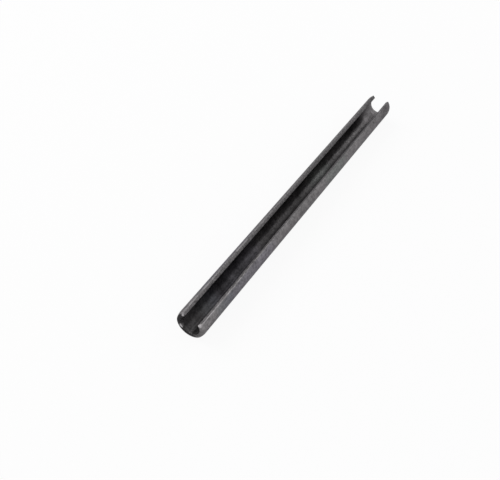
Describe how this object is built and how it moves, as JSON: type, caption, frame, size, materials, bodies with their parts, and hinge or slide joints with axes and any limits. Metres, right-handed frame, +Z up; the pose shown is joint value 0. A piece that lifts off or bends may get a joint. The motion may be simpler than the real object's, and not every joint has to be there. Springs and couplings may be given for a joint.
{
  "type": "slotted spring pin",
  "caption": "Straight sleeve rolled from spring steel, open along one side, with tapered ends; driven into a drilled hole, it closes and grips to hold two parts together.",
  "frame": {"origin": "on the line the pin rests on, under its mid-length; the sleeve's axis is 3.25 mm above it", "axes": "+X along the pin, +Z up through the middle of the slot"},
  "size_m": [0.09, 0.0064, 0.0056],
  "materials": {
    "black_oxide_steel": "blackened spring steel, satin, with fine lengthwise grain and bright worn corners"
  },
  "bodies": {
    "root": {"spring_roll_pin": "black_oxide_steel"}
  },
  "joints": []
}
